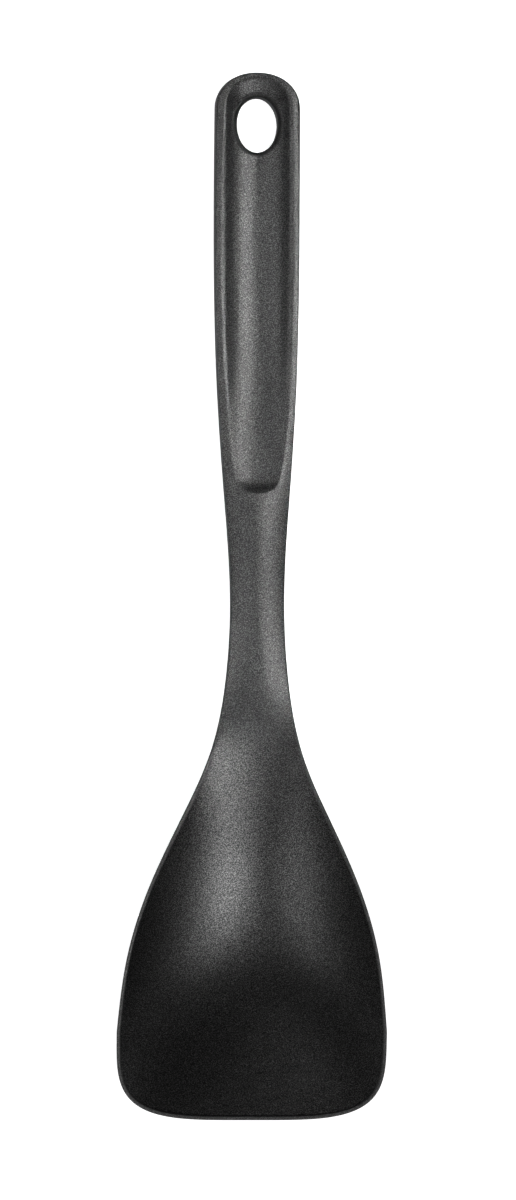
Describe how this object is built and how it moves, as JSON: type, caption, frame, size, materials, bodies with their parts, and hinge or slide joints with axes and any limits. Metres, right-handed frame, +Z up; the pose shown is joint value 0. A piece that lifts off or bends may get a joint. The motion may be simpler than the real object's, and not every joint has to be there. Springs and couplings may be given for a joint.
{
  "type": "wok turner",
  "caption": "One-piece black nylon turner with a long channelled handle, a hanging eye, a waisted neck and a wide scooped blade.",
  "frame": {"origin": "on the table under the middle of the tool's box, with the tool lying on its back", "axes": "+X across the tool, +Y along it towards the hanging eye, +Z up from the table, which is the way the front faces"},
  "size_m": [0.08, 0.31, 0.0249],
  "materials": {
    "handle_nylon": "fine sparked grain, satin",
    "neck_nylon": "fine sparked grain, satin",
    "blade_nylon": "finer grain than the handle, satin"
  },
  "bodies": {
    "root": {"handle": "handle_nylon", "neck": "neck_nylon", "blade": "blade_nylon"}
  },
  "joints": []
}
